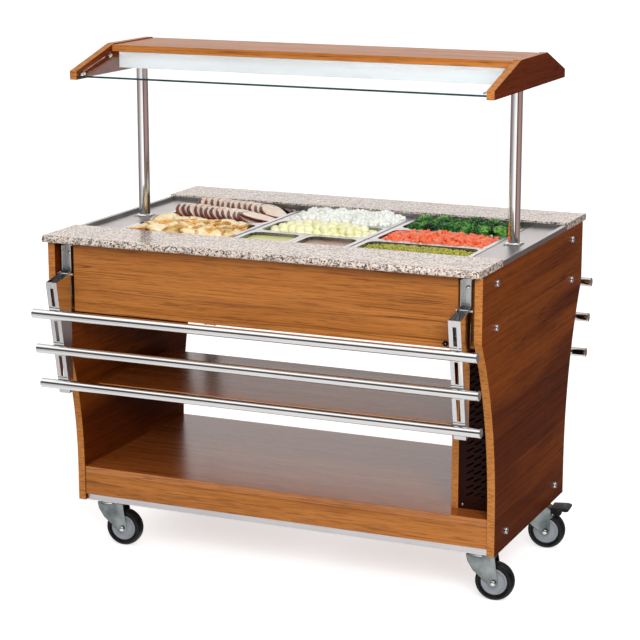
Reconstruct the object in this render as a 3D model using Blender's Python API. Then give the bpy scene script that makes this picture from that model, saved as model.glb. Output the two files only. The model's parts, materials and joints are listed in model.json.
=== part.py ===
"""Food service trolley: a wooden buffet cart with a stainless well for nine food pans.

The frame stands on the floor at z = 0, with X along the trolley's length, the front at -Y and +Z up.
The origin is under the middle of the whole trolley, brake pedals and folded tray slides included.
"""
import math

import bmesh
import bpy
from mathutils import Matrix, Vector

GAP = 0.0003  # clearance between faces that touch
CUT = 0.01  # how far a cutter runs past the faces that it opens
WELD = 0.001  # how far pieces reach into each other before they are joined

# Side panels and the wooden body.
HALF_LENGTH = 0.584  # from the middle to a side panel's outer face
PANEL = 0.020
PANEL_TOP = 0.860
PANEL_BOTTOM = 0.137
PANEL_TOP_Y = 0.408  # half depth of a side panel at the counter
PANEL_FOOT_Y = 0.287  # half depth of a side panel at its foot
CURVE_TOP = 0.700  # the panel's edge starts to sweep in here
CURVE_FOOT = 0.230  # and is upright again here
CURVE_STEPS = 9
INNER = HALF_LENGTH - PANEL - GAP  # half length of the boards between the side panels
BOARD = 0.018

BASE_TOP = 0.230
BASE_Y = 0.284
CHASSIS_BOTTOM = 0.135
CHASSIS_TOP = 0.153
CHASSIS_Y = 0.276
CHASSIS_BAR = 0.040

SHELF_TOP = 0.440
SHELF_Y = 0.202
PARTITION_X = 0.449  # left face of the upright board beside the machine compartment
PARTITION_Y = 0.227
WELL_BOTTOM = 0.690

APRON_HALF = 0.518
APRON_Y = 0.394
APRON_BOTTOM = 0.680

# Counter: granite along the front and rear, a steel well between.
GRANITE_BOTTOM = PANEL_TOP + GAP
GRANITE_TOP = 0.878
GRANITE_Y = 0.436
GRANITE_HALF = 0.5845
WELL_Y = 0.265  # half width of the space between the two granite strips
DECK_TOP = 0.863
RIM_TOP = 0.873
TANK_X = 0.498
TANK_Y = 0.2627
SHEET = 0.0015

# Food pans: three bays side by side, each split across its depth.
BAY_PITCH = 0.325
BAY_DEPTH = 0.524
BAY_HOLE_X = 0.1505
BAY_HOLE_Y = 0.2535
PAN_GAP = 0.001
PAN_WIDTH = 0.318
PAN_DEPTH = 0.065
PAN_FLANGE = 0.012
PAN_SHEET = 0.001
SMALL_PAN_BAR = 0.010  # deck bar between the two small front pans

# Canopy on two posts.
POST_X = 0.524
POST_R = 0.015
POST_BORE = 0.0135
POST_FOOT_R = 0.021
CANOPY_HALF = 0.568  # from the middle to a canopy end's outer face
CANOPY_INNER = CANOPY_HALF - PANEL - GAP  # half length of the lid and glass between the ends
CANOPY_FOOT = 1.259
CANOPY_FRONT_Y = 0.303
CANOPY_REAR_Y = 0.258  # the canopy reaches less far over the rear counter
CANOPY_NOSE_TOP = 1.281
CANOPY_TOP_Y = 0.105
CANOPY_TOP = 1.336
LID_BOTTOM = 1.316
LID_TOP = 1.333
LID_Y = 0.118
LAMP_X = 0.530
LAMP_Y = 0.112
LAMP_BOTTOM = 1.272
LAMP_SHEET = 0.002
GLASS = 0.005
GLASS_INSET = 0.003  # from an end's nose back to the lower edge's middle
GLASS_LOW_Z = 1.268
GLASS_HIGH = (0.124, 1.3115)  # y and z of the upper edge's middle

# Folding tray slides, drawn in their raised position: s runs outwards from the hinge pin, h upwards.
SLIDE_PIN_Y = 0.402
SLIDE_PIN_Z = 0.776
SLIDE_SWING = math.radians(100)
ARM_X = 0.538
ARM_HALF = 0.0155
ARM_SHEET = 0.0016
ARM_END = 0.004  # how far the arm's end reaches behind the pin
ARM_LENGTH = 0.300
ARM_HEIGHT = 0.073
ARM_TIP = 0.019  # height of the arm's tip
ARM_EAR = 0.008
PIN_R = 0.003
PIN_HALF = 0.0215
BRACKET_HALF = 0.0135
BRACKET_SHEET = 0.002
BRACKET_FRONT_Y = 0.396
BRACKET_Z = (0.690, 0.848)
RAIL_R = 0.0125
RAIL_BORE = 0.0112
RAIL_HALF = 0.596
RAIL_PLACES = (0.0806, 0.1766, 0.2726)
RAIL_RISE = ARM_HEIGHT + 0.008
SLOT_WIDTH = 0.009
SLOT_MARGIN = 0.020  # from a rail's middle to the nearest slot end

# Castors, drawn with the swivel axis at the origin and the wheel trailing towards +X.
CASTOR_X = 0.525
CASTOR_Y = 0.215
CASTOR_TURN = math.radians(5)
TRAIL = 0.038
WHEEL_R = 0.050
WHEEL_HALF = 0.016
HUB_R = 0.0335
AXLE_R = 0.005
FORK_HALF = 0.0185  # inner face of a fork leg
FORK_SHEET = 0.0025
FORK_TOP = 0.1307
CROWN = (0.112, 0.118)
PLATE_HALF = 0.038
PLATE_BOTTOM = 0.131
PEDAL_PIVOT = (0.058, 0.100)  # x and z of the brake pedal's rivets
PEDAL_REACH = 0.100
PEDAL_HALF = 0.027
PEDAL_CHEEK = 0.0225
RIVET_R = 0.003

# The trailing castors reach further out on the right than the rails do on the left,
# so the body stands a little to the left of the origin.
RIGHT_REACH = CASTOR_X + PEDAL_REACH * math.cos(CASTOR_TURN) + PEDAL_HALF * math.sin(CASTOR_TURN)
BODY_X = (RAIL_HALF - RIGHT_REACH) / 2

MATERIALS = {
    "wood_laminate": ((0.43, 0.17, 0.05), 0.32, 0.0),
    "granite": ((0.56, 0.51, 0.49), 0.25, 0.0),
    "stainless_steel": ((0.62, 0.62, 0.61), 0.30, 1.0),
    "polished_steel": ((0.75, 0.75, 0.75), 0.12, 1.0),
    "aluminium": ((0.77, 0.77, 0.77), 0.40, 1.0),
    "zinc_plate": ((0.35, 0.38, 0.36), 0.35, 1.0),
    "grey_plastic": ((0.28, 0.30, 0.33), 0.50, 0.0),
    "black_rubber": ((0.015, 0.015, 0.016), 0.75, 0.0),
    "black_plastic": ((0.02, 0.02, 0.022), 0.55, 0.0),
    "brown_painted_steel": ((0.035, 0.018, 0.014), 0.45, 0.0),
    "white_painted_steel": ((0.78, 0.82, 0.82), 0.35, 0.0),
    "clear_glass": ((0.85, 0.95, 0.92), 0.03, 0.0),
}


# ---------------------------------------------------------------- helpers


def clear_scene():
    for obj in list(bpy.data.objects):
        bpy.data.objects.remove(obj, do_unlink=True)


def make_material(name):
    colour, roughness, metallic = MATERIALS[name]
    material = bpy.data.materials.get(name) or bpy.data.materials.new(name)
    material.use_nodes = True
    shader = material.node_tree.nodes["Principled BSDF"]
    shader.inputs["Base Color"].default_value = (*colour, 1.0)
    shader.inputs["Roughness"].default_value = roughness
    shader.inputs["Metallic"].default_value = metallic
    if name == "clear_glass":
        shader.inputs["Transmission Weight"].default_value = 1.0
    return material


def empty(name, parent=None, place=(0, 0, 0), turn=(0, 0, 0)):
    guide = bpy.data.objects.new(name, None)
    bpy.context.scene.collection.objects.link(guide)
    guide.parent = parent
    guide.location = place
    guide.rotation_euler = turn
    return guide


def add_object(name, mesh, material, parent, place=(0, 0, 0), turn=(0, 0, 0)):
    obj = bpy.data.objects.new(name, mesh)
    bpy.context.scene.collection.objects.link(obj)
    if not mesh.materials:
        mesh.materials.append(make_material(material))
    obj.parent = parent
    obj.location = place
    obj.rotation_euler = turn
    return obj


def finish_mesh(bm, name, smooth=False):
    bmesh.ops.recalc_face_normals(bm, faces=bm.faces)
    mesh = bpy.data.meshes.new(name)
    bm.to_mesh(mesh)
    bm.free()
    if smooth:
        mesh.shade_smooth()
        mesh.set_sharp_from_angle(angle=math.radians(35))
    return mesh


def box_mesh(low, high):
    low, high = Vector(low), Vector(high)
    bm = bmesh.new()
    bmesh.ops.create_cube(bm, size=1)
    bmesh.ops.scale(bm, vec=high - low, verts=bm.verts)
    bmesh.ops.translate(bm, vec=(low + high) / 2, verts=bm.verts)
    return finish_mesh(bm, "box")


def prism_mesh(outline, low, high, axis="X", smooth=False):
    """Extrudes a closed outline along an axis. Points are (y, z) along X and (x, z) along Y, (x, y) along Z."""
    place = {
        "X": lambda p, t: (t, p[0], p[1]),
        "Y": lambda p, t: (p[0], t, p[1]),
        "Z": lambda p, t: (p[0], p[1], t),
    }[axis]
    bm = bmesh.new()
    face = bm.faces.new([bm.verts.new(place(p, low)) for p in outline])
    grown = bmesh.ops.extrude_face_region(bm, geom=[face])
    step = Vector(place((0, 0), high - low))
    bmesh.ops.translate(bm, vec=step, verts=[v for v in grown["geom"] if isinstance(v, bmesh.types.BMVert)])
    return finish_mesh(bm, "prism", smooth)


def turned_mesh(profile, steps, axis="Z", smooth=True):
    """Turns a closed profile of (radius, height) points about an axis. A radius of 0 lies on the axis."""
    bm = bmesh.new()
    rings = []
    for radius, height in profile:
        if radius == 0:
            rings.append([bm.verts.new((0, 0, height))])
            continue
        angles = [2 * math.pi * i / steps for i in range(steps)]
        rings.append([bm.verts.new((radius * math.cos(a), radius * math.sin(a), height)) for a in angles])
    for ring, after in zip(rings, rings[1:] + rings[:1]):
        for i in range(steps):
            j = (i + 1) % steps
            corners = [ring[i % len(ring)], ring[j % len(ring)], after[j % len(after)], after[i % len(after)]]
            corners = list(dict.fromkeys(corners))
            if len(corners) > 2:
                bm.faces.new(corners)
    if axis == "X":
        bmesh.ops.rotate(bm, matrix=Matrix.Rotation(math.pi / 2, 3, "Y"), verts=bm.verts)
    if axis == "Y":
        bmesh.ops.rotate(bm, matrix=Matrix.Rotation(math.pi / 2, 3, "X"), verts=bm.verts)
    return finish_mesh(bm, "turned", smooth)


def rod_mesh(radius, low, high, axis="X", steps=16):
    profile = [(0, low), (radius, low), (radius, high), (0, high)]
    return turned_mesh(profile, steps, axis)


def moved(mesh, place):
    mesh.transform(Matrix.Translation(place))
    return mesh


def combine(mesh, operation, others, smooth=False):
    """Applies exact booleans to a mesh and returns the result."""
    body = bpy.data.objects.new("body", mesh)
    bpy.context.scene.collection.objects.link(body)
    tools = []
    for other in others:
        tool = bpy.data.objects.new("tool", other)
        bpy.context.scene.collection.objects.link(tool)
        tools.append(tool)
        modifier = body.modifiers.new("cut", "BOOLEAN")
        modifier.operation = operation
        modifier.solver = "EXACT"
        modifier.object = tool
    result = bpy.data.meshes.new_from_object(body.evaluated_get(bpy.context.evaluated_depsgraph_get()))
    for obj in [body, *tools]:
        bpy.data.objects.remove(obj, do_unlink=True)
    if smooth:
        result.shade_smooth()
        result.set_sharp_from_angle(angle=math.radians(35))
    return result


def arc(centre, radius, start, end, steps):
    """Points on an arc, with its angles in degrees."""
    angles = [math.radians(start + (end - start) * i / steps) for i in range(steps + 1)]
    return [(centre[0] + radius * math.cos(a), centre[1] + radius * math.sin(a)) for a in angles]


def both_sides(points):
    """Completes an outline that is the same at -y as at +y, from its +y half."""
    return points + [(-y, z) for y, z in reversed(points)]


# ---------------------------------------------------------------- body


def side_panel_outline():
    """The edge is upright at the counter, sweeps in below it and is upright again at the foot."""
    sweep_slope = math.tan(math.radians(30))
    start = Vector((PANEL_TOP_Y, CURVE_TOP))
    end = Vector((PANEL_FOOT_Y, CURVE_FOOT))
    bend = Vector((PANEL_FOOT_Y, CURVE_TOP - (PANEL_TOP_Y - PANEL_FOOT_Y) / sweep_slope))
    edge = [(PANEL_TOP_Y, PANEL_TOP)]
    for i in range(CURVE_STEPS + 1):
        t = i / CURVE_STEPS
        edge.append(tuple(start * (1 - t) ** 2 + bend * 2 * t * (1 - t) + end * t**2))
    edge.append((PANEL_FOOT_Y, PANEL_BOTTOM))
    return both_sides(edge)


def build_side_panels(trolley):
    mesh = prism_mesh(side_panel_outline(), -PANEL / 2, PANEL / 2)
    for side, sign in (("left", -1), ("right", 1)):
        place = (sign * (HALF_LENGTH - PANEL / 2), 0, 0)
        add_object(f"side_panel_{side}", mesh, "wood_laminate", trolley, place)


def build_chassis(trolley):
    outer = box_mesh((-INNER, -CHASSIS_Y, CHASSIS_BOTTOM), (INNER, CHASSIS_Y, CHASSIS_TOP))
    windows = []
    for low_x, high_x in ((CHASSIS_BAR - INNER, -CHASSIS_BAR / 2), (CHASSIS_BAR / 2, INNER - CHASSIS_BAR)):
        low = (low_x, CHASSIS_BAR - CHASSIS_Y, CHASSIS_BOTTOM - CUT)
        high = (high_x, CHASSIS_Y - CHASSIS_BAR, CHASSIS_TOP + CUT)
        windows.append(box_mesh(low, high))
    frame = combine(outer, "DIFFERENCE", windows)
    plates = []
    for sign_x in (-1, 1):
        for sign_y in (-1, 1):
            x, y = sign_x * CASTOR_X, sign_y * CASTOR_Y
            low = (x - PLATE_HALF, y - PLATE_HALF, PLATE_BOTTOM)
            plates.append(box_mesh(low, (x + PLATE_HALF, y + PLATE_HALF, CHASSIS_BOTTOM + WELD)))
    add_object("chassis_frame", combine(frame, "UNION", plates), "aluminium", trolley)


def build_base(trolley):
    board = box_mesh((-INNER, -BASE_Y, BASE_TOP - BOARD), (INNER, BASE_Y, BASE_TOP))
    add_object("base_board", board, "wood_laminate", trolley)
    for side, sign in (("front", -1), ("rear", 1)):
        edges = sorted((sign * BASE_Y, sign * (BASE_Y - BOARD)))
        low = (-INNER, edges[0], CHASSIS_TOP + GAP)
        apron = box_mesh(low, (INNER, edges[1], BASE_TOP - BOARD - GAP))
        add_object(f"base_apron_{side}", apron, "wood_laminate", trolley)


def build_shelf_and_partition(trolley):
    low = (-INNER, -SHELF_Y, SHELF_TOP - BOARD)
    shelf = box_mesh(low, (PARTITION_X - GAP, SHELF_Y, SHELF_TOP))
    add_object("middle_shelf", shelf, "wood_laminate", trolley)
    low = (PARTITION_X, -PARTITION_Y, BASE_TOP + GAP)
    partition = box_mesh(low, (PARTITION_X + BOARD, PARTITION_Y, WELL_BOTTOM - GAP))
    add_object("partition", partition, "wood_laminate", trolley)


def grille_mesh(width, height, thickness):
    """A flat plate with columns of slanting slots, with its lower left corner at the origin."""
    columns, rows = 3, 23
    pitch_x, pitch_z = 0.020, 0.019
    half_slot = Vector((0.0095, 0.0060))
    slot_edge = Vector((0.0018, -0.0018))
    start_x = (width - columns * pitch_x) / 2
    start_z = (height - rows * pitch_z) / 2
    bm = bmesh.new()
    grid = {}

    def corner(i, j):
        x = 0 if i < 0 else width if i > columns else start_x + i * pitch_x
        z = 0 if j < 0 else height if j > rows else start_z + j * pitch_z
        key = (round(x, 6), round(z, 6))
        if key not in grid:
            grid[key] = bm.verts.new((x, 0, z))
        return grid[key]

    for i in range(-1, columns + 1):
        for j in range(-1, rows + 1):
            cell = [corner(i, j), corner(i + 1, j), corner(i + 1, j + 1), corner(i, j + 1)]
            if not (0 <= i < columns and 0 <= j < rows):
                bm.faces.new(cell)
                continue
            middle = Vector((start_x + (i + 0.5) * pitch_x, start_z + (j + 0.5) * pitch_z))
            ends = (-half_slot + slot_edge, half_slot + slot_edge, half_slot - slot_edge, -half_slot - slot_edge)
            slot = [bm.verts.new((middle.x + p.x, 0, middle.y + p.y)) for p in ends]
            for k in range(4):
                after = (k + 1) % 4
                bm.faces.new((cell[k], cell[after], slot[after], slot[k]))
    grown = bmesh.ops.extrude_face_region(bm, geom=list(bm.faces))
    verts = [v for v in grown["geom"] if isinstance(v, bmesh.types.BMVert)]
    bmesh.ops.translate(bm, vec=(0, thickness, 0), verts=verts)
    return finish_mesh(bm, "grille")


def build_grilles(trolley):
    inset = 0.005
    low_x = PARTITION_X + BOARD + GAP
    low_z = BASE_TOP + GAP
    height = WELL_BOTTOM - GAP - low_z
    mesh = grille_mesh(INNER - low_x, height, SHEET)
    front_y = -(PARTITION_Y - inset)
    add_object("grille_front", mesh, "brown_painted_steel", trolley, (low_x, front_y, low_z))
    place = (INNER, -front_y, low_z)
    add_object("grille_rear", mesh, "brown_painted_steel", trolley, place, (0, 0, math.pi))


def build_upper_aprons(trolley):
    """Each apron is a short face board on a longer backing board that reaches the side panels."""
    face_back = APRON_Y - BOARD
    backing_back = face_back - BOARD
    half = [(APRON_HALF, -APRON_Y), (APRON_HALF, -face_back), (INNER, -face_back), (INNER, -backing_back)]
    outline = half + [(-x, y) for x, y in reversed(half)]
    mesh = prism_mesh(outline, APRON_BOTTOM, PANEL_TOP - GAP, "Z")
    add_object("upper_apron_front", mesh, "wood_laminate", trolley)
    add_object("upper_apron_rear", mesh, "wood_laminate", trolley, turn=(0, 0, math.pi))


# ---------------------------------------------------------------- counter


def build_granite(trolley):
    """Two strips with a bull nose on the outer edge."""
    top_round, low_round = 0.010, 0.005
    outline = [(-WELL_Y, GRANITE_BOTTOM), (-WELL_Y, GRANITE_TOP)]
    outline += arc((top_round - GRANITE_Y, GRANITE_TOP - top_round), top_round, 90, 180, 5)
    outline += arc((low_round - GRANITE_Y, GRANITE_BOTTOM + low_round), low_round, 180, 270, 3)
    mesh = prism_mesh(outline, -GRANITE_HALF, GRANITE_HALF, smooth=True)
    add_object("granite_front", mesh, "granite", trolley)
    add_object("granite_rear", mesh, "granite", trolley, turn=(0, 0, math.pi))


def bay_rows():
    """The pans' rows in each bay, from the front: each row is (share of the depth, pans side by side)."""
    return {
        "left": [(1 / 2, 1), (1 / 2, 1)],
        "middle": [(1 / 3, 2), (1 / 3, 1), (1 / 3, 1)],
        "right": [(1 / 3, 1), (1 / 3, 1), (1 / 3, 1)],
    }


def build_well(trolley):
    """One welded piece: a deck with a raised rim, three openings, and the tank under them."""
    under_deck = PANEL_TOP + GAP
    edge_y = WELL_Y - GAP
    side_rim, end_rim = 0.012, 0.002
    tank = box_mesh((-TANK_X, -TANK_Y, WELL_BOTTOM), (TANK_X, TANK_Y, DECK_TOP - WELD))
    pieces = [box_mesh((-HALF_LENGTH, -edge_y, under_deck), (HALF_LENGTH, edge_y, DECK_TOP))]
    for sign in (-1, 1):
        ends = sorted((sign * HALF_LENGTH, sign * (HALF_LENGTH - side_rim)))
        pieces.append(box_mesh((ends[0], -edge_y, under_deck), (ends[1], edge_y, RIM_TOP)))
        ends = sorted((sign * edge_y, sign * (edge_y - end_rim)))
        pieces.append(box_mesh((-HALF_LENGTH, ends[0], under_deck), (HALF_LENGTH, ends[1], RIM_TOP)))
    solid = combine(tank, "UNION", pieces)
    inside = Vector((TANK_X - SHEET, TANK_Y - SHEET, 0))
    cuts = [box_mesh(-inside + Vector((0, 0, WELL_BOTTOM + SHEET)), inside + Vector((0, 0, under_deck)))]
    small_bar = SMALL_PAN_BAR / 2
    small_edge = BAY_DEPTH / 3 - BAY_DEPTH / 2 + small_bar
    holes = [
        (-BAY_PITCH - BAY_HOLE_X, BAY_HOLE_X - BAY_PITCH, -BAY_HOLE_Y, BAY_HOLE_Y),
        (BAY_PITCH - BAY_HOLE_X, BAY_PITCH + BAY_HOLE_X, -BAY_HOLE_Y, BAY_HOLE_Y),
        (-BAY_HOLE_X, BAY_HOLE_X, small_edge, BAY_HOLE_Y),
        (-BAY_HOLE_X, -small_bar, -BAY_HOLE_Y, small_edge - SMALL_PAN_BAR),
        (small_bar, BAY_HOLE_X, -BAY_HOLE_Y, small_edge - SMALL_PAN_BAR),
    ]
    for x0, x1, y0, y1 in holes:
        cuts.append(box_mesh((x0, y0, under_deck - WELD), (x1, y1, RIM_TOP)))
    add_object("steel_well", combine(solid, "DIFFERENCE", cuts), "stainless_steel", trolley)


def rounded_rectangle(half_x, half_y, radius, steps=2):
    points = []
    for sign_x, sign_y, start in ((1, 1, 0), (-1, 1, 90), (-1, -1, 180), (1, -1, 270)):
        centre = (sign_x * (half_x - radius), sign_y * (half_y - radius))
        points += arc(centre, radius, start, start + 90, steps)
    return points


def pan_mesh(width, length):
    """A pressed pan with a flat flange, rounded corners and slightly sloping walls, standing on z = 0."""
    half_x, half_y = width / 2, length / 2
    wall_x, wall_y = half_x - PAN_FLANGE, half_y - PAN_FLANGE
    slope, floor_round = 0.005, 0.010
    levels = [
        (half_x, half_y, 0.006, 0),
        (wall_x, wall_y, 0.022, 0),
        (wall_x - slope, wall_y - slope, 0.022, floor_round - PAN_DEPTH),
        (wall_x - slope - floor_round, wall_y - slope - floor_round, 0.016, -PAN_DEPTH),
    ]
    bm = bmesh.new()
    loops = []
    for x, y, radius, z in levels:
        loops.append([bm.verts.new((px, py, z)) for px, py in rounded_rectangle(x, y, radius)])
    for outer, inner in zip(loops, loops[1:]):
        for i in range(len(outer)):
            j = (i + 1) % len(outer)
            bm.faces.new((outer[i], outer[j], inner[j], inner[i]))
    bm.faces.new(loops[-1])
    mesh = finish_mesh(bm, "pan", smooth=True)
    shell = bpy.data.objects.new("shell", mesh)
    bpy.context.scene.collection.objects.link(shell)
    thicken = shell.modifiers.new("sheet", "SOLIDIFY")
    thicken.thickness = PAN_SHEET
    thicken.offset = 0
    result = bpy.data.meshes.new_from_object(shell.evaluated_get(bpy.context.evaluated_depsgraph_get()))
    bpy.data.objects.remove(shell, do_unlink=True)
    return result


def build_pans(trolley):
    meshes = {}
    floor = DECK_TOP + GAP + PAN_SHEET / 2
    for bay, (side, rows) in enumerate(bay_rows().items()):
        bay_x = (bay - 1) * BAY_PITCH
        front = -BAY_DEPTH / 2
        number = 0
        for share, count in rows:
            length = BAY_DEPTH * share - PAN_GAP
            width = (PAN_WIDTH - (count - 1) * PAN_GAP) / count
            size = (round(width, 5), round(length, 5))
            if size not in meshes:
                meshes[size] = pan_mesh(*size)
            for across in range(count):
                number += 1
                x = bay_x + (across - (count - 1) / 2) * (width + PAN_GAP)
                place = (x, front + BAY_DEPTH * share / 2, floor)
                add_object(f"pan_{side}_{number}", meshes[size], "stainless_steel", trolley, place)
            front += BAY_DEPTH * share


# ---------------------------------------------------------------- canopy


def build_posts(trolley):
    foot = DECK_TOP + GAP
    collar_top = foot + 0.005
    chamfer = 0.001
    post_top = LID_BOTTOM - GAP - LAMP_SHEET - GAP
    profile = [
        (POST_BORE, foot),
        (POST_FOOT_R, foot),
        (POST_FOOT_R, collar_top - chamfer),
        (POST_FOOT_R - chamfer, collar_top),
        (POST_R, collar_top),
        (POST_R, post_top),
        (POST_BORE, post_top),
    ]
    mesh = turned_mesh(profile, 20)
    for side, sign in (("left", -1), ("right", 1)):
        add_object(f"post_{side}", mesh, "polished_steel", trolley, (sign * POST_X, 0, 0))


def build_canopy(trolley):
    outline = [
        (CANOPY_REAR_Y, CANOPY_FOOT),
        (CANOPY_REAR_Y, CANOPY_NOSE_TOP),
        (CANOPY_TOP_Y, CANOPY_TOP),
        (-CANOPY_TOP_Y, CANOPY_TOP),
        (-CANOPY_FRONT_Y, CANOPY_NOSE_TOP),
        (-CANOPY_FRONT_Y, CANOPY_FOOT),
    ]
    end = prism_mesh(outline, -PANEL / 2, PANEL / 2)
    for side, sign in (("left", -1), ("right", 1)):
        place = (sign * (CANOPY_HALF - PANEL / 2), 0, 0)
        add_object(f"canopy_end_{side}", end, "wood_laminate", trolley, place)
    lid = box_mesh((-CANOPY_INNER, -LID_Y, LID_BOTTOM), (CANOPY_INNER, LID_Y, LID_TOP))
    add_object("canopy_lid", lid, "wood_laminate", trolley)
    inner_y = LAMP_Y - LAMP_SHEET
    lamp_top = LID_BOTTOM - GAP
    half = [(LAMP_Y, lamp_top), (LAMP_Y, LAMP_BOTTOM), (inner_y, LAMP_BOTTOM), (inner_y, lamp_top - LAMP_SHEET)]
    lamp = prism_mesh(both_sides(half), -LAMP_X, LAMP_X)
    add_object("lamp_housing", lamp, "white_painted_steel", trolley)


def glass_mesh(nose_y):
    """A pane that slopes up and inwards, in its place on the rear side."""
    low, high = Vector((nose_y - GLASS_INSET, GLASS_LOW_Z)), Vector(GLASS_HIGH)
    across = (high - low).normalized()
    up = Vector((-across.y, across.x)) * -GLASS / 2
    outline = [tuple(p) for p in (low - up, high - up, high + up, low + up)]
    return prism_mesh(outline, -CANOPY_INNER, CANOPY_INNER)


def build_glass(trolley):
    add_object("glass_rear", glass_mesh(CANOPY_REAR_Y), "clear_glass", trolley)
    add_object("glass_front", glass_mesh(CANOPY_FRONT_Y), "clear_glass", trolley, turn=(0, 0, math.pi))


# ---------------------------------------------------------------- tray slides


def arm_mesh():
    """A channel that is open below when raised, with saddles for the rails and slots between them."""
    rear_edge = (ARM_LENGTH, ARM_HEIGHT - ARM_TIP)
    outline = [(-ARM_END, ARM_HEIGHT), (ARM_LENGTH, ARM_HEIGHT), rear_edge, (0.030, 0.0063)]
    outline += arc((0, 0), ARM_EAR, -70, -220, 6)
    outline += [(-ARM_END, 0.012)]
    outline = [(-s, h) for s, h in outline]
    body = prism_mesh(outline, -ARM_HALF, ARM_HALF)
    hollow = ARM_HALF - ARM_SHEET
    roof = ARM_HEIGHT - ARM_SHEET
    cuts = [box_mesh((-hollow, -ARM_LENGTH - CUT, -2 * CUT), (hollow, 2 * CUT, roof))]
    across = ARM_HALF + CUT
    cuts.append(rod_mesh(PIN_R + 2 * GAP, -across, across, steps=10))
    for s in RAIL_PLACES:
        saddle = rod_mesh(RAIL_R + 2 * GAP, -across, across, steps=20)
        cuts.append(moved(saddle, (0, -s, RAIL_RISE)))
    first_start = 0.012
    starts = (first_start, *(s + SLOT_MARGIN for s in RAIL_PLACES[:2]))
    for start, rail in zip(starts, RAIL_PLACES):
        low = (-SLOT_WIDTH / 2, SLOT_MARGIN - rail, roof - CUT)
        cuts.append(box_mesh(low, (SLOT_WIDTH / 2, -start, ARM_HEIGHT + CUT)))
    return combine(body, "DIFFERENCE", cuts)


def bracket_mesh():
    """An upright channel, open at the front, with two ears that hold the hinge pin at the origin."""
    back = SLIDE_PIN_Y - (APRON_Y - BOARD) - GAP
    front = SLIDE_PIN_Y - BRACKET_FRONT_Y
    low, high = BRACKET_Z[0] - SLIDE_PIN_Z, BRACKET_Z[1] - SLIDE_PIN_Z
    outline = [(back, low), (back, high), (front, high), (front, ARM_EAR)]
    outline += arc((0, 0), ARM_EAR, 90, 270, 6)
    outline += [(front, -ARM_EAR), (front, low)]
    body = prism_mesh(outline, -BRACKET_HALF, BRACKET_HALF)
    hollow = BRACKET_HALF - BRACKET_SHEET
    cut = box_mesh((-hollow, -2 * CUT, low - CUT), (hollow, back - BRACKET_SHEET, high + CUT))
    channel = combine(body, "DIFFERENCE", [cut])
    return combine(channel, "UNION", [rod_mesh(PIN_R, -PIN_HALF, PIN_HALF, steps=10)], smooth=True)


def build_tray_slides(trolley):
    arm = arm_mesh()
    bracket = bracket_mesh()
    bore = [(RAIL_BORE, -RAIL_HALF), (RAIL_R, -RAIL_HALF), (RAIL_R, RAIL_HALF), (RAIL_BORE, RAIL_HALF)]
    rail = turned_mesh(bore, 20, "X")
    for side, sign in (("front", -1), ("rear", 1)):
        turn = 0 if sign < 0 else math.pi
        hinge = empty(f"tray_slide_{side}_hinge", trolley, (0, sign * SLIDE_PIN_Y, SLIDE_PIN_Z), (0, 0, turn))
        folded = empty(f"tray_slide_{side}_folded", hinge, turn=(SLIDE_SWING, 0, 0))
        for end, x in (("left", -ARM_X), ("right", ARM_X)):
            place = (x * -sign, 0, 0)
            add_object(f"tray_bracket_{side}_{end}", bracket, "stainless_steel", hinge, place)
            add_object(f"tray_arm_{side}_{end}", arm, "polished_steel", folded, place)
        for number, s in enumerate(RAIL_PLACES, 1):
            add_object(f"tray_rail_{side}_{number}", rail, "polished_steel", folded, (0, -s, RAIL_RISE))


# ---------------------------------------------------------------- castors


def fork_mesh(braked):
    """Two legs under a crown and a turned swivel head, with the axle bolt through the legs."""
    leg = [(-0.033, CROWN[1]), (-0.029, 0.100), (-0.015, 0.078), (0.004, 0.062), (0.020, 0.052)]
    leg += arc((TRAIL, WHEEL_R), 0.012, 200, 370, 6)
    if braked:
        leg += [(0.050, 0.085), *arc(PEDAL_PIVOT, 0.0065, -40, 90, 3), (0.040, CROWN[1])]
    else:
        leg += [(0.045, 0.085), (0.040, CROWN[1])]
    outer = FORK_HALF + FORK_SHEET
    body = prism_mesh(leg, -outer, outer, "Y")
    between = box_mesh((-0.1, -FORK_HALF, 0), (0.1, FORK_HALF, CROWN[0]))
    legs = combine(body, "DIFFERENCE", [between])
    head = [(0, CROWN[0] + WELD), (0.030, CROWN[0] + WELD), (0.032, 0.120), (0.030, 0.124)]
    head += [(0.024, 0.125), (0.023, FORK_TOP), (0, FORK_TOP)]
    pieces = [turned_mesh(head, 16)]
    bolt_end = outer + 0.005
    nut = outer + 0.004
    nut_r = 0.008
    pieces.append(moved(rod_mesh(AXLE_R, -bolt_end, bolt_end, "Y", 8), (TRAIL, 0, WHEEL_R)))
    pieces.append(moved(rod_mesh(nut_r, outer - WELD, nut, "Y", 6), (TRAIL, 0, WHEEL_R)))
    pieces.append(moved(rod_mesh(nut_r, -nut, WELD - outer, "Y", 6), (TRAIL, 0, WHEEL_R)))
    if braked:
        cheek = PEDAL_CHEEK + 0.003
        place = (PEDAL_PIVOT[0], 0, PEDAL_PIVOT[1])
        pieces.append(moved(rod_mesh(RIVET_R, outer - WELD, cheek, "Y", 8), place))
        pieces.append(moved(rod_mesh(RIVET_R, -cheek, WELD - outer, "Y", 8), place))
    return combine(legs, "UNION", pieces, smooth=True)


def hub_mesh():
    """A dished disc wheel centre with a bore for the axle, turned about Y."""
    bore = AXLE_R + GAP
    half = [(bore, 0.0175), (0.010, 0.0175), (0.012, 0.0125), (HUB_R, 0.0145)]
    profile = half + [(radius, -y) for radius, y in reversed(half)]
    return turned_mesh(profile, 20, "Y")


def tyre_mesh():
    inner = HUB_R + GAP
    half = [(inner, 0.0135), (0.0375, 0.0135), (0.039, WHEEL_HALF), (0.046, WHEEL_HALF)]
    half += [(WHEEL_R, 0.007)]
    profile = half + [(radius, -y) for radius, y in reversed(half)]
    return turned_mesh(profile, 28, "Y")


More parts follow.
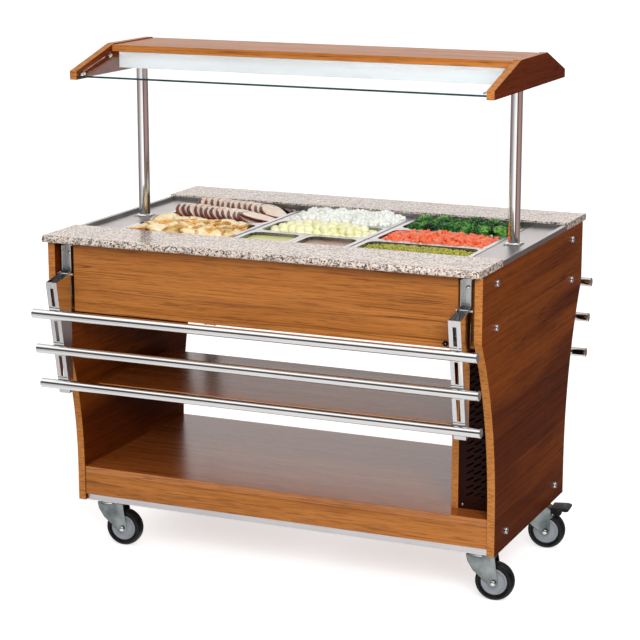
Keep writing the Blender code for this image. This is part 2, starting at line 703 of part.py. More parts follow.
def pedal_mesh():
    """A foot plate with two cheeks round the fork and a shoe above the tyre, hinged at the origin."""
    x0, z0 = PEDAL_PIVOT
    cheek = [(0.052, 0.114), (0.052, 0.098), (0.060, 0.092), (0.070, 0.098), (0.080, 0.114)]
    cheek = [(x - x0, z - z0) for x, z in cheek]
    outer = PEDAL_CHEEK + 0.0025
    body = prism_mesh(cheek, -outer, outer, "Y")
    gap = box_mesh((-0.05, -PEDAL_CHEEK, -0.05), (0.05, PEDAL_CHEEK, 0.013))
    body = combine(body, "DIFFERENCE", [gap])
    tread = [(0.052, 0.113), (0.094, 0.111), (PEDAL_REACH, 0.113), (PEDAL_REACH, 0.119), (0.090, 0.1215)]
    tread += [(0.052, 0.119)]
    tread = [(x - x0, z - z0) for x, z in tread]
    shoe = box_mesh((0.066 - x0, -0.012, 0.095 - z0), (0.076 - x0, 0.012, 0.115 - z0))
    body = combine(body, "UNION", [prism_mesh(tread, -PEDAL_HALF, PEDAL_HALF, "Y"), shoe])
    hole = rod_mesh(RIVET_R + GAP, -0.05, 0.05, "Y", 8)
    return combine(body, "DIFFERENCE", [hole])


def build_castors(trolley):
    forks = {braked: fork_mesh(braked) for braked in (False, True)}
    hub, tyre, pedal = hub_mesh(), tyre_mesh(), pedal_mesh()
    for end, sign_y in (("front", -1), ("rear", 1)):
        braked = end == "rear"
        for side, sign_x in (("left", -1), ("right", 1)):
            name = f"{end}_{side}"
            place = (sign_x * CASTOR_X, sign_y * CASTOR_Y, 0)
            swivel = empty(f"castor_{name}_swivel", trolley, place, (0, 0, CASTOR_TURN))
            axle = (TRAIL, 0, WHEEL_R)
            add_object(f"fork_{name}", forks[braked], "zinc_plate", swivel)
            add_object(f"hub_{name}", hub, "grey_plastic", swivel, axle)
            add_object(f"tyre_{name}", tyre, "black_rubber", swivel, axle)
            if braked:
                pivot = (PEDAL_PIVOT[0], 0, PEDAL_PIVOT[1])
                add_object(f"brake_pedal_{name}", pedal, "black_plastic", swivel, pivot)


def main():
    clear_scene()
    trolley = empty("trolley", place=(BODY_X, 0, 0))
    build_side_panels(trolley)
    build_chassis(trolley)
    build_base(trolley)
    build_shelf_and_partition(trolley)
    build_grilles(trolley)
    build_upper_aprons(trolley)
    build_granite(trolley)
    build_well(trolley)
    build_pans(trolley)
    build_posts(trolley)
    build_canopy(trolley)
    build_glass(trolley)
    build_tray_slides(trolley)
    build_castors(trolley)


main()
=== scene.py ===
import json
import math

import bmesh
import bpy
import numpy as np
from mathutils import Euler, Matrix, Vector, noise


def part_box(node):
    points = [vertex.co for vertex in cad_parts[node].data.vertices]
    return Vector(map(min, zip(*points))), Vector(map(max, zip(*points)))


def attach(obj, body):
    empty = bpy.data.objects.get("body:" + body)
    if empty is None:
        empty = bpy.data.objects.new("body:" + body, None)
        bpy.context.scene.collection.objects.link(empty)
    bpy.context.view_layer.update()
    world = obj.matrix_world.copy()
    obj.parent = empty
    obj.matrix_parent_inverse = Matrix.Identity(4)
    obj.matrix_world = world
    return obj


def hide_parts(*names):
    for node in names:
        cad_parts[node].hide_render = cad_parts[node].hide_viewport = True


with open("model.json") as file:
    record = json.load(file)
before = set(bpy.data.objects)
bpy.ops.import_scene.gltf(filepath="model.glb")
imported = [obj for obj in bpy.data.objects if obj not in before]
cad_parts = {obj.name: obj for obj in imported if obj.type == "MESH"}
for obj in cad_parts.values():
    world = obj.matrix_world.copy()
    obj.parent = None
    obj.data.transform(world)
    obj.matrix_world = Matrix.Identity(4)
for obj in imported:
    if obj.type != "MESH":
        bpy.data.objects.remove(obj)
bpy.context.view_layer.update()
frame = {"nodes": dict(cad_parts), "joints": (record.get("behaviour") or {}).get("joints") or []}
nodes = frame["nodes"]
scene = bpy.context.scene
scene.view_settings.view_transform = "Standard"

CORNERS = ("front_left", "front_right", "rear_left", "rear_right")
SIDES = ("left", "right")
ENDS = ("front", "rear")
CASTOR_TURN = math.radians(5)
FULL_TURN = 6.28
GOLDEN_TURN = 2.39996
WOOD_RELIEF = 0.00012


# ---------------------------------------------------------------- shader helpers


def srgb(red, green, blue):
    """A display colour of 0 to 255 as the linear colour that a shader takes."""

    def linear(value):
        value /= 255
        if value <= 0.04045:
            return value / 12.92
        return ((value + 0.055) / 1.055) ** 2.4

    return (linear(red), linear(green), linear(blue), 1.0)


class Shader:
    """A node material with one Principled shader, and short ways to add nodes to it."""

    def __init__(self, name, **values):
        self.material = bpy.data.materials.new(name)
        self.material.use_nodes = True
        self.tree = self.material.node_tree
        self.surface = self.tree.nodes["Principled BSDF"]
        for key, value in values.items():
            self.surface.inputs[key.replace("_", " ")].default_value = value

    def node(self, kind, inputs=None, **settings):
        made = self.tree.nodes.new("ShaderNode" + kind)
        for key, value in settings.items():
            setattr(made, key, value)
        for key, value in (inputs or {}).items():
            self.put(value, made.inputs[key])
        return made

    def put(self, value, socket):
        if isinstance(value, bpy.types.NodeSocket):
            self.tree.links.new(value, socket)
        else:
            socket.default_value = value

    def place(self, scale=(1, 1, 1), offset=(0, 0, 0)):
        """Object coordinates in metres, stretched by scale."""
        spot = self.node("TexCoord").outputs["Object"]
        mapped = self.node("Mapping", {"Vector": spot, "Scale": scale, "Location": offset})
        return mapped.outputs["Vector"]

    def noise(self, vector, scale=1.0, detail=2.0, rough=0.5, twist=0.0):
        made = self.node("TexNoise", {"Vector": vector, "Scale": scale, "Detail": detail,
                                      "Roughness": rough, "Distortion": twist})
        return made.outputs["Fac"]

    def ramp(self, value, stops, mode="LINEAR"):
        made = self.node("ValToRGB", {"Fac": value})
        made.color_ramp.interpolation = mode
        points = made.color_ramp.elements
        while len(points) < len(stops):
            points.new(0.5)
        for point, (at, colour) in zip(points, stops):
            point.position = at
            point.color = colour if len(colour) == 4 else (*colour, 1)
        return made.outputs["Color"]

    def fade(self, value, low, high, bottom=0.0, top=1.0):
        made = self.node("MapRange", {"Value": value, "From Min": low, "From Max": high,
                                      "To Min": bottom, "To Max": top})
        made.interpolation_type = "SMOOTHSTEP"
        return made.outputs["Result"]

    def mix(self, amount, first, second, blend="MIX"):
        made = self.node("Mix", data_type="RGBA", blend_type=blend)
        self.put(amount, made.inputs[0])
        self.put(first, made.inputs[6])
        self.put(second, made.inputs[7])
        return made.outputs[2]

    def math(self, operation, first, second=0.0):
        made = self.node("Math", operation=operation)
        self.put(first, made.inputs[0])
        self.put(second, made.inputs[1])
        return made.outputs[0]

    def bump(self, height, depth):
        made = self.node("Bump", {"Height": height, "Distance": depth, "Strength": 1.0})
        self.put(made.outputs["Normal"], self.surface.inputs["Normal"])

    def colour(self, value):
        self.put(value, self.surface.inputs["Base Color"])

    def roughness(self, value):
        self.put(value, self.surface.inputs["Roughness"])

    def facing(self, axis):
        """How much the surface faces along one object axis, from 0 to 1."""
        normal = self.node("TexCoord").outputs["Normal"]
        split = self.node("SeparateXYZ", {"Vector": normal})
        return self.math("ABSOLUTE", split.outputs[axis])


# ---------------------------------------------------------------- materials

LIGHT_WOOD = srgb(192, 122, 58)
MID_WOOD = srgb(174, 106, 47)
DARK_WOOD = srgb(134, 74, 30)
PORE = srgb(78, 36, 14)


def wood(name, grain, shade, edge=None, rough=0.32, gloss=0.5, relief=WOOD_RELIEF):
    """Satin wood laminate: long bands of tone, fine streaks and thin dark pores along the grain axis.

    Shade tints the broad faces; where it is dark, on the shelves, side panels and canopy ends, it is painted
    shade. With an edge axis, the one that those faces look along, all other faces keep the lighter tone of
    edge banding.
    """
    made = Shader(name, Specular_IOR_Level=gloss)

    def along(slow, fast, offset=0.0):
        scale = [fast, fast, fast]
        scale["XYZ".index(grain)] = slow
        return made.place(scale, (offset, offset * 0.7, offset * 1.3))

    wobble = made.node("TexNoise", {"Vector": made.place((2.0, 2.0, 2.0)), "Scale": 1.0, "Detail": 1.0})
    bend = made.node("VectorMath", {0: wobble.outputs["Color"]}, operation="SCALE")
    bend.inputs["Scale"].default_value = 0.7

    def bent(vector):
        add = made.node("VectorMath", {0: vector, 1: bend.outputs[0]}, operation="ADD")
        return add.outputs[0]

    bands = made.noise(bent(along(0.5, 11.0)), detail=2.0, rough=0.5, twist=0.2)
    tone = made.ramp(bands, ((0.30, MID_WOOD), (0.50, LIGHT_WOOD), (0.68, MID_WOOD)))
    streaks = made.noise(bent(along(1.1, 135.0, 3.1)), detail=4.0, rough=0.70)
    tone = made.mix(made.fade(streaks, 0.34, 0.60, 0.38, 0.0), tone, DARK_WOOD)
    fibres = made.noise(bent(along(16.0, 480.0, 7.7)), detail=3.0, rough=0.6)
    tone = made.mix(made.fade(fibres, 0.50, 0.66, 0.0, 0.46), tone, PORE)
    veins = made.noise(bent(along(0.42, 46.0, 5.3)), detail=2.0, rough=0.5, twist=0.25)
    crowded = made.noise(made.place((1.6, 1.6, 5.0), (4.0, 2.0, 1.0)), detail=1.0)
    ridge = made.math("ABSOLUTE", made.math("SUBTRACT", veins, 0.5))
    share = made.fade(crowded, 0.38, 0.64, 0.15, 0.62)
    thin = made.math("MULTIPLY", made.fade(ridge, 0.016, 0.003), share)
    tone = made.mix(thin, tone, PORE)
    second = made.noise(bent(along(0.42, 61.0, 9.9)), detail=2.0, rough=0.5, twist=0.25)
    ridge = made.math("ABSOLUTE", made.math("SUBTRACT", second, 0.46))
    tone = made.mix(made.fade(ridge, 0.014, 0.003, 0.0, 0.42), tone, PORE)
    band_tone = tone
    if edge == "X":
        broad = made.noise(bent(along(0.7, 9.0, 6.1)), detail=2.0, rough=0.55)
        darker = (shade[0] * 0.66, shade[1] * 0.56, shade[2] * 0.66, 1)
        lighter = (shade[0] * 1.24, shade[1] * 1.30, shade[2] * 1.20, 1)
        shade = made.mix(made.fade(broad, 0.40, 0.60), darker, lighter)
    # Multiplying by shade: the dark shades of the shelves, panels and canopy ends are painted shade.
    tone = made.mix(1.0, tone, shade, "MULTIPLY")
    if edge == "X":
        banding = made.noise(made.place((60, 9, 420)), detail=3.0, rough=0.6)
        band_tone = made.ramp(banding, ((0.35, srgb(148, 90, 42)), (0.55, srgb(188, 124, 66))))
    if edge:
        tone = made.mix(made.fade(made.facing(edge), 0.55, 0.75), band_tone, tone)
    made.colour(tone)
    uneven = 0.05 * relief / WOOD_RELIEF
    made.roughness(made.fade(streaks, 0.3, 0.7, rough + uneven, rough - uneven))
    made.bump(made.math("ADD", fibres, streaks), relief)
    return made.material


def granite():
    """Polished granite: grains of cream, pink, grey and near black, with darker clouds."""
    made = Shader("granite", Coat_Weight=0.04, Coat_Roughness=0.06, Specular_IOR_Level=0.30)
    spot = made.place()
    grains = made.node("TexVoronoi", {"Vector": spot, "Scale": 285.0, "Randomness": 1.0})
    pick = made.node("SeparateColor", {"Color": grains.outputs["Color"]})
    cream = srgb(219, 206, 188)
    pink = srgb(196, 174, 164)
    grey = srgb(132, 124, 120)
    tone = made.ramp(pick.outputs["Red"], (
        (0.0, srgb(46, 42, 40)), (0.12, srgb(110, 98, 86)), (0.18, grey),
        (0.34, pink), (0.58, cream), (0.88, srgb(230, 222, 212))), "CONSTANT")
    fine = made.noise(spot, 900.0, 3.0, 0.6)
    tone = made.mix(made.fade(fine, 0.3, 0.75, 0.0, 0.35), tone, srgb(120, 108, 104))
    drift = made.noise(spot, 26.0, 3.0, 0.55)
    tone = made.mix(made.fade(drift, 0.56, 0.74, 0.0, 0.55), tone, srgb(70, 62, 56))
    made.colour(tone)
    made.roughness(made.fade(fine, 0.3, 0.7, 0.16, 0.26))
    made.bump(fine, 0.00004)
    return made.material


def brushed(name, colour, grain, rough, variation=0.06):
    """Steel or aluminium with fine brush lines along one axis."""
    made = Shader(name, Metallic=1.0)
    scale = [520.0, 520.0, 520.0]
    scale["XYZ".index(grain)] = 2.0
    lines = made.noise(made.place(scale), detail=4.0, rough=0.65)
    smudge = made.noise(made.place((7, 7, 7)), detail=3.0, rough=0.55)
    darker = tuple(part * 0.82 for part in colour[:3]) + (1.0,)
    made.colour(made.mix(made.fade(lines, 0.3, 0.7, 0.0, 0.8), darker, colour))
    grain_rough = made.fade(lines, 0.3, 0.7, rough - variation, rough + variation)
    made.roughness(made.math("ADD", grain_rough, made.fade(smudge, 0.35, 0.7, -0.03, 0.05)))
    made.bump(lines, 0.00003)
    return made.material


def polished(name, colour, rough):
    """Mirror-bright steel with a faint haze and scuffs."""
    made = Shader(name, Metallic=1.0)
    haze = made.noise(made.place((9, 9, 9)), detail=4.0, rough=0.6)
    scuffs = made.noise(made.place((240, 240, 240)), detail=3.0, rough=0.7)
    darker = tuple(part * 0.93 for part in colour[:3]) + (1.0,)
    made.colour(made.mix(made.fade(haze, 0.3, 0.7), darker, colour))
    made.roughness(made.math("ADD", made.fade(haze, 0.3, 0.7, rough, rough + 0.05),
                             made.fade(scuffs, 0.55, 0.8, 0.0, 0.05)))
    return made.material


def zinc():
    """Zinc-plated sheet with a bold mottle, partly the plating's cloudiness and partly painted reflection.
    """
    made = Shader("zinc", Metallic=1.0)
    cloud = made.noise(made.place((15, 15, 15)), detail=3.0, rough=0.5)
    # Wide light and dark patches: painted reflection for the curves of a pressed fork, over the plating's
    # own mottle.
    stops = ((0.34, srgb(78, 88, 87)), (0.5, srgb(122, 132, 131)), (0.66, srgb(164, 172, 171)))
    made.colour(made.ramp(cloud, stops))
    made.roughness(made.fade(cloud, 0.3, 0.7, 0.20, 0.30))
    made.bump(made.noise(made.place((700, 700, 700)), detail=2.0), 0.00002)
    return made.material


def plastic(name, colour, rough, patches=0.12, shine=0.5):
    """Moulded plastic or rubber with a fine grain and slightly lighter patches."""
    made = Shader(name, Specular_IOR_Level=shine)
    fine = made.noise(made.place((900, 900, 900)), detail=2.0)
    cloud = made.noise(made.place((22, 22, 22)), detail=3.0, rough=0.6)
    lighter = tuple(part + (1 - part) * patches * 0.4 for part in colour[:3]) + (1.0,)
    made.colour(made.mix(made.fade(cloud, 0.35, 0.7), colour, lighter))
    made.roughness(made.fade(cloud, 0.3, 0.7, rough - 0.05, rough + 0.07))
    made.bump(fine, 0.00005)
    return made.material


def enamel(name, colour, rough, coat=0.3, shine=0.5):
    """Painted or enamelled sheet with a faint orange-peel surface."""
    made = Shader(name, Coat_Weight=coat, Coat_Roughness=0.1, Specular_IOR_Level=shine)
    cloud = made.noise(made.place((3, 9, 9)), detail=3.0, rough=0.5)
    darker = tuple(part * 0.93 for part in colour[:3]) + (1.0,)
    made.colour(made.mix(made.fade(cloud, 0.3, 0.7), darker, colour))
    made.roughness(made.fade(cloud, 0.3, 0.7, rough, rough + 0.08))
    made.bump(made.noise(made.place((450, 450, 450)), detail=2.0), 0.00002)
    return made.material


def clear_glass():
    """Clear glass with a slight tint and faint smears."""
    made = Shader("clear_glass", Transmission_Weight=1.0, IOR=1.10, Base_Color=(0.943, 0.950, 0.963, 1))
    smear = made.noise(made.place((5, 5, 5)), detail=3.0)
    made.roughness(made.fade(smear, 0.5, 0.8, 0.0, 0.02))
    return made.material


def glass_edge():
    """The dark green of a pane seen through its edge."""
    made = Shader("glass_edge", Specular_IOR_Level=0.3)
    depth = made.noise(made.place((8, 200, 200)), detail=2.0)
    made.colour(made.ramp(depth, ((0.3, srgb(0, 40, 36)), (0.7, srgb(8, 72, 62)))))
    made.roughness(made.fade(depth, 0.3, 0.7, 0.08, 0.16))
    return made.material


# Tint of the side panels and partitions, far darker and redder than the apron's wood: mostly painted shade
# for faces turned away from the light.
PANEL_PAINTED_SHADE = (0.375, 0.23, 0.12, 1)
# The shelves' tint darkens the boards' broad faces: painted shade, standing in for the reflection of the
# dark left panel.
shelf_wood = wood("wood_shelf", "X", (0.70, 0.52, 0.44, 1), edge="Z", rough=0.25, relief=0.00003)
lid_wood = wood("wood_lid", "X", (0.96, 0.90, 0.84, 1), edge="Z", rough=0.36, gloss=0.10)
apron_wood = wood("wood_apron", "X", (0.96, 0.97, 0.96, 1), gloss=0.2)
panel_wood = wood("wood_panel", "Y", PANEL_PAINTED_SHADE, edge="X", rough=0.34, gloss=0.04)
# The canopy ends' tint, close to the panels', is mostly painted shade for faces turned away from the light.
end_wood = wood("wood_canopy_end", "Y", (0.45, 0.235, 0.125, 1), edge="X", rough=0.34, gloss=0.04)
stone = granite()
deck_steel = brushed("stainless_deck", (0.60, 0.59, 0.59, 1), "X", 0.40)
pan_steel = brushed("stainless_pan", (0.55, 0.56, 0.58, 1), "Y", 0.22)
bracket_steel = brushed("stainless_bracket", (0.66, 0.68, 0.68, 1), "Z", 0.22)
chrome = polished("polished_steel", (0.86, 0.86, 0.86, 1), 0.07)
arm_steel = brushed("polished_arm", (0.86, 0.86, 0.86, 1), "Z", 0.14, variation=0.03)
strip_aluminium = brushed("satin_aluminium", (0.88, 0.88, 0.90, 1), "X", 0.34)
fork_zinc = zinc()
hub_plastic = plastic("grey_hub", srgb(134, 140, 146), 0.42)
tyre_rubber = plastic("black_tyre", srgb(7, 8, 9), 0.26, patches=0.02, shine=0.28)
black_plastic = plastic("black_pedal", srgb(12, 13, 14), 0.42, patches=0.04, shine=0.12)
grille_paint = enamel("brown_grille", srgb(36, 15, 12), 0.55, 0.0, 0.12)
lamp_enamel = enamel("lamp_enamel", srgb(232, 240, 241), 0.3)
pane = clear_glass()
pane_edge = glass_edge()


# ---------------------------------------------------------------- the CAD nodes


def dress(names, material, bevel=0.0):
    """Gives CAD nodes a material and, for boards and sheet parts, softly rounded edges."""
    for name in names:
        made = nodes[name]
        made.data.materials.clear()
        made.data.materials.append(material)
        if bevel:
            weld = made.modifiers.new("weld", "WELD")
            weld.merge_threshold = 0.00001
            round_off = made.modifiers.new("round_off", "BEVEL")
            round_off.width = bevel
            round_off.segments = 2
            round_off.limit_method = "ANGLE"
            round_off.angle_limit = math.radians(40)


def names_like(*starts):
    """Names of the CAD nodes that start in one of the ways given."""
    return [name for name in nodes if name.startswith(starts)]


dress(names_like("side_panel", "partition"), panel_wood, 0.0008)
dress(names_like("canopy_end"), end_wood, 0.0012)
dress(names_like("base_board", "middle_shelf"), shelf_wood, 0.0008)
dress(["canopy_lid"], lid_wood, 0.0012)
dress(names_like("base_apron", "upper_apron"), apron_wood, 0.0008)
dress(names_like("granite"), stone)
dress(["steel_well"], deck_steel)
dress(names_like("pan_"), pan_steel)
dress(names_like("tray_bracket"), bracket_steel, 0.0004)
dress(names_like("tray_arm"), arm_steel, 0.0005)
dress(names_like("tray_rail", "post_"), chrome)
dress(["chassis_frame"], strip_aluminium, 0.0006)
dress(names_like("fork_"), fork_zinc, 0.0004)
dress(names_like("hub_"), hub_plastic)
dress(names_like("tyre_"), tyre_rubber)
dress(names_like("brake_pedal"), black_plastic, 0.0006)
dress(names_like("grille_"), grille_paint)
dress(["lamp_housing"], lamp_enamel, 0.0004)
dress(names_like("glass_"), pane)
for name in names_like("glass_"):
    made = nodes[name]
    made.data.materials.append(pane_edge)
    for face in made.data.polygons:
        outward = -face.normal.y if "front" in name else face.normal.y
        if outward > 0.5:
            face.material_index = 1


# ---------------------------------------------------------------- pieces made here


def add_piece(name, mesh, materials, body, cad=()):
    """A new visible piece that rides on a body and stands for the CAD nodes named."""
    for material in materials:
        mesh.materials.append(material)
    made = bpy.data.objects.new(name, mesh)
    scene.collection.objects.link(made)
    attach(made, body)
    if cad:
        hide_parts(*cad)
    return made


def mesh_from(name, points, faces, tags=None, sharp=40):
    mesh = bpy.data.meshes.new(name)
    mesh.from_pydata([tuple(p) for p in points], [], faces)
    if tags is not None:
        mesh.polygons.foreach_set("material_index", tags)
    mesh.shade_smooth()
    if sharp:
        mesh.set_sharp_from_angle(angle=math.radians(sharp))
    return mesh


def turned(profile, steps, close=False):
    """Points and faces of a profile of (radius, height) turned about Z."""
    points, faces, rings = [], [], []
    for radius, height in profile:
        if radius == 0:
            rings.append([len(points)] * steps)
            points.append((0, 0, height))
            continue
        rings.append(list(range(len(points), len(points) + steps)))
        for i in range(steps):
            turn = 2 * math.pi * i / steps
            points.append((radius * math.cos(turn), radius * math.sin(turn), height))
    pairs = list(zip(rings, rings[1:]))
    if close:
        pairs.append((rings[-1], rings[0]))
    for lower, upper in pairs:
        for i in range(steps):
            j = (i + 1) % steps
            corners = list(dict.fromkeys((lower[i], lower[j], upper[j], upper[i])))
            if len(corners) > 2:
                faces.append(corners)
    return np.array(points, float), faces


AIM = {
    "X": Matrix.Rotation(math.pi / 2, 4, "Y"),
    "-X": Matrix.Rotation(-math.pi / 2, 4, "Y"),
    "Y": Matrix.Rotation(-math.pi / 2, 4, "X"),
    "-Y": Matrix.Rotation(math.pi / 2, 4, "X"),
}


def rounded_block(size, bevel):
    """Points and faces of a box with rounded edges, centred on the origin."""
    bm = bmesh.new()
    bmesh.ops.create_cube(bm, size=1)
    bmesh.ops.scale(bm, vec=size, verts=bm.verts)
    bmesh.ops.bevel(bm, geom=list(bm.edges), offset=bevel, segments=2, profile=0.5, affect="EDGES")
    shape = shape_of(bm)
    bm.free()
    return shape


def shape_of(bm):
    """Points and faces of a bmesh."""
    bm.verts.index_update()
    points = np.array([vert.co for vert in bm.verts], float)
    return points, [[vert.index for vert in face.verts] for face in bm.faces]


def lump(seed, size=(1, 1, 1), detail=2, rough=0.12, grain=1.4):
    """A ball pushed in and out by noise, then stretched."""
    bm = bmesh.new()
    bmesh.ops.create_icosphere(bm, subdivisions=detail, radius=1)
    for vert in bm.verts:
        push = noise.noise(vert.co * grain + Vector((seed * 3.7, seed * 1.9, seed * 5.3)))
        vert.co *= 1 + rough * push
        vert.co = Vector((vert.co.x * size[0], vert.co.y * size[1], vert.co.z * size[2]))
    shape = shape_of(bm)
    bm.free()
    return shape


class Heap:
    """Many small shapes gathered into one mesh."""

    def __init__(self):
        self.points, self.faces, self.tags, self.count = [], [], [], 0

    def add(self, shape, place, tags=0):
        points, faces = shape
        turn = np.array(place.to_3x3())
        self.points.append(points @ turn.T + np.array(place.translation))
        self.faces += [[i + self.count for i in face] for face in faces]
        self.tags += tags if isinstance(tags, list) else [tags] * len(faces)
        self.count += len(points)

    def mesh(self, name, sharp=40):
        return mesh_from(name, np.concatenate(self.points), self.faces, self.tags, sharp)


def placed(x, y, z, turn=(0, 0, 0), scale=1.0):
    return Matrix.Translation((x, y, z)) @ Euler(turn).to_matrix().to_4x4() @ Matrix.Scale(scale, 4)


# ---- tubes of the tray slides and posts


def tube_with_caps(name, node, body):
    """A round tube with a pressed-in cap at each end, set off by a fine groove."""
    low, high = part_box(node)
    middle = (low + high) / 2
    half = (high.x - low.x) / 2
    radius = (high.z - low.z) / 2 - 0.0001
    inner = half - 0.0035
    half_profile = [(0, -half), (radius * 0.82, -half), (radius - 0.0008, -half + 0.0004),
                    (radius, -half + 0.0012), (radius, -inner - 0.0004), (radius - 0.0006, -inner),
                    (radius, -inner + 0.0004)]
    profile = half_profile + [(r, -x) for r, x in reversed(half_profile)]
    heap = Heap()
    heap.add(turned(profile, 48), Matrix.Translation(middle) @ AIM["X"])
    add_piece(name, heap.mesh(name, 25), [chrome], body, [node])


for end in ENDS:
    for number in (1, 2, 3):
        tube_with_caps(f"capped_rail_{end}_{number}", f"tray_rail_{end}_{number}", f"tray_slide_{end}")


def post_pieces():
    """The canopy's posts, each with a foot collar and four nuts."""
    for side in SIDES:
        low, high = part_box(f"post_{side}")
        middle = (low + high) / 2
        radius, collar = 0.015, (high.x - low.x) / 2
        top = high.z
        profile = [(0, low.z), (collar, low.z), (collar, low.z + 0.0030), (collar - 0.0012, low.z + 0.0046),
                   (radius + 0.0016, low.z + 0.0052), (radius + 0.0004, low.z + 0.0062),
                   (radius, low.z + 0.0080), (radius, low.z + 0.0086), (radius, low.z + 0.0092),
                   (radius, top), (0, top)]
        heap = Heap()
        heap.add(turned(profile, 64), Matrix.Translation((middle.x, middle.y, 0)))
        nut = turned([(0.0034, 0), (0.0034, 0.0012), (0.0027, 0.0014), (0.0025, 0.0023), (0.0016, 0.0031),
                      (0, 0.0034)], 18)
        reach = collar + 0.0052
        for turn in (45, 135, 225, 315):
            spot = Vector((math.cos(math.radians(turn)), math.sin(math.radians(turn)), 0)) * reach
            heap.add(nut, Matrix.Translation((middle.x + spot.x, middle.y + spot.y, low.z)))
        add_piece(f"polished_post_{side}", heap.mesh("post", 35), [chrome], "root", [f"post_{side}"])


post_pieces()


# ---- wheels


def wheel_pieces():
    """Round hubs and tyres from half profiles of (radius, half width)."""
    hub_half = [(0.0056, 0.0172), (0.0098, 0.0172), (0.0106, 0.0166), (0.0112, 0.0130), (0.0124, 0.0121),
                (0.0270, 0.0119), (0.0280, 0.0124), (0.0290, 0.0141), (0.0300, 0.0146), (0.0328, 0.0146),
                (0.0335, 0.0138)]
    tyre_half = [(0.0337, 0.0130), (0.0341, 0.0136), (0.0362, 0.0137), (0.0369, 0.0129), (0.0377, 0.0129),
                 (0.0385, 0.0146), (0.0396, 0.0157), (0.0420, 0.0160), (0.0440, 0.0157), (0.0461, 0.0146),
                 (0.0478, 0.0126), (0.0490, 0.0098), (0.0497, 0.0060), (0.0500, 0.0020)]
    for corner in CORNERS:
        low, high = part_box(f"tyre_{corner}")
        spot = Matrix.Translation((low + high) / 2) @ Matrix.Rotation(CASTOR_TURN, 4, "Z") @ AIM["Y"]
        for kind, half, skin, steps in (("hub", hub_half, hub_plastic, 64),
                                        ("tyre", tyre_half, tyre_rubber, 96)):
            profile = half + [(radius, -width) for radius, width in reversed(half)]
            heap = Heap()
            heap.add(turned(profile, steps, close=True), spot)
            mesh = heap.mesh(kind, 50)
            add_piece(f"round_{kind}_{corner}", mesh, [skin], f"wheel_{corner}", [f"{kind}_{corner}"])


wheel_pieces()


def castor_trim():
    """The bright ball race on top of each fork and the domed ends of its axle bolt."""
    race = turned([(0.0280, 0.1176), (0.0310, 0.1182), (0.0326, 0.1196), (0.0328, 0.1222), (0.0314, 0.1246),
                   (0.0290, 0.1262), (0.0236, 0.1298)], 48)
    dome = turned([(0.0072, 0), (0.0072, 0.0006), (0.0064, 0.0022), (0.0046, 0.0034), (0.0022, 0.0040),
                   (0, 0.0041)], 24)
    joints = {joint["name"]: joint for joint in frame["joints"]}
    for corner in CORNERS:
        swivel = joints[f"castor_{corner}_swivel"]["pos_m"]
        axle = Vector(joints[f"wheel_{corner}_spin"]["pos_m"])
        heap = Heap()
        heap.add(race, Matrix.Translation((swivel[0], swivel[1], 0)))
        for sign in (-1, 1):
            away = Matrix.Rotation(CASTOR_TURN, 4, "Z") @ Matrix.Translation((0, sign * 0.0250, 0))
            heap.add(dome, Matrix.Translation(axle) @ away @ AIM["Y" if sign > 0 else "-Y"])
        add_piece(f"castor_trim_{corner}", heap.mesh("trim", 35), [chrome], f"castor_{corner}")


castor_trim()


# ---- bolts, screws and clips on the body


def dome_bolts():
    """Chrome cap bolts through the side panels."""
    cap = turned([(0.0092, 0), (0.0092, 0.0008), (0.0084, 0.0010), (0.0084, 0.0048), (0.0078, 0.0060),
                  (0.0062, 0.0067), (0, 0.0072)], 32)
    offsets_and_heights = [(0.308, 0.828), (0.308, 0.720), (0.204, 0.181)]
    for side, sign in zip(SIDES, (-1, 1)):
        low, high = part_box(f"side_panel_{side}")
        face = high.x if sign > 0 else low.x
        heap = Heap()
        for y, z in offsets_and_heights:
            for mirror in (-1, 1):
                heap.add(cap, Matrix.Translation((face, mirror * y, z)) @ AIM["X" if sign > 0 else "-X"])
        add_piece(f"cap_bolts_{side}", heap.mesh("bolts", 35), [chrome], "root")


dome_bolts()


def screw_head(radius, height):
    """A domed screw head with a flat top."""
    return turned([(radius, 0), (radius, height * 0.45), (radius * 0.86, height * 0.8),
                   (radius * 0.55, height), (0, height)], 24)


def small_fittings():
    """Screws in the slide brackets and grilles, and the small round socket on the front apron."""
    heap = Heap()
    bracket_head = screw_head(0.0052, 0.0024)
    grille_head = screw_head(0.0034, 0.0018)
    for end, sign in zip(ENDS, (-1, 1)):
        outward = AIM["-Y" if sign < 0 else "Y"]
        for side in SIDES:
            low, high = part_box(f"tray_bracket_{end}_{side}")
            middle = (low.x + high.x) / 2
            web = (high.y - 0.002) if sign < 0 else (low.y + 0.002)
            for z in (high.z - 0.020, low.z + 0.022):
                heap.add(bracket_head, Matrix.Translation((middle, web, z)) @ outward)
        low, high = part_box(f"grille_{end}")
        face = low.y if sign < 0 else high.y
        for x in (low.x + 0.010, high.x - 0.010):
            for z in (low.z + 0.010, high.z - 0.010):
                heap.add(grille_head, Matrix.Translation((x, face, z)) @ outward)
    add_piece("body_screws", heap.mesh("screws", 35), [chrome], "root")
    low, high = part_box("upper_apron_front")
    rosette = Heap()
    place = Matrix.Translation((high.x - 0.0747, low.y, low.z + 0.011)) @ AIM["-Y"]
    plate = turned([(0.0068, 0), (0.0068, 0.0008), (0.0060, 0.0013), (0.0052, 0.0008), (0, 0.0008)], 32)
    rosette.add(plate, place)
    stud = turned([(0.0032, 0.0006), (0.0032, 0.0024), (0.0022, 0.0030), (0, 0.0032)], 20)
    for x in (-0.0052, 0.0052):
        rosette.add(stud, place @ Matrix.Translation((x, 0, 0)), 1)
    rosette.add(turned([(0.0012, 0.0006), (0.0012, 0.0018), (0, 0.0020)], 12), place, 2)
    add_piece("apron_socket", rosette.mesh("socket", 35), [grille_paint, black_plastic, chrome], "root")


small_fittings()


